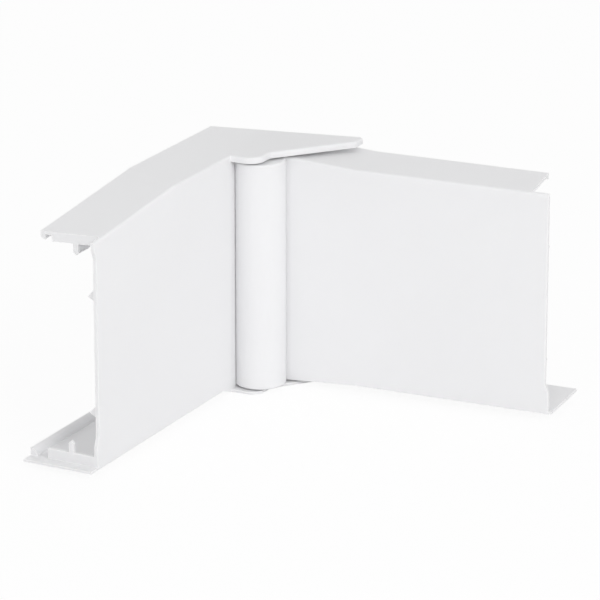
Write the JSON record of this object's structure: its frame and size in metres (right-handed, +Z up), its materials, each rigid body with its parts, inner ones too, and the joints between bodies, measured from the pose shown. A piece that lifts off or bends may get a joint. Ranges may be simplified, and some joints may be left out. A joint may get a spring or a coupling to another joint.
{
  "type": "trunking corner",
  "caption": "Adjustable inside corner for cable trunking: two moulded cover wings of C section that turn on a round hinge post, with an overlapping sector plate above and below.",
  "frame": {"origin": "on the hinge axis, at the underside of the outer half's floor plate, which is the lowest plane of the part", "axes": "+Z up along the hinge axis. The outer half's wing runs along -Y with the wall it covers on its -X side. The inner half's wing leaves the hinge at 4 degrees from +X towards +Y, with the wall on its +Y side, so the faces stand at 94 degrees as pictured."},
  "size_m": [0.1904, 0.2029, 0.1195],
  "materials": {
    "outer_white": "satin moulded plastic, white",
    "inner_white": "satin moulded plastic, white"
  },
  "bodies": {
    "outer": {"outer_half": "outer_white"},
    "inner": {"inner_half": "inner_white"}
  },
  "joints": [
    {"name": "corner_hinge", "type": "hinge", "parent": "outer", "child": "inner", "pos_m": [0, 0, 0.059], "axis": [0, 0, 1], "range_deg": [-6, 10]}
  ]
}
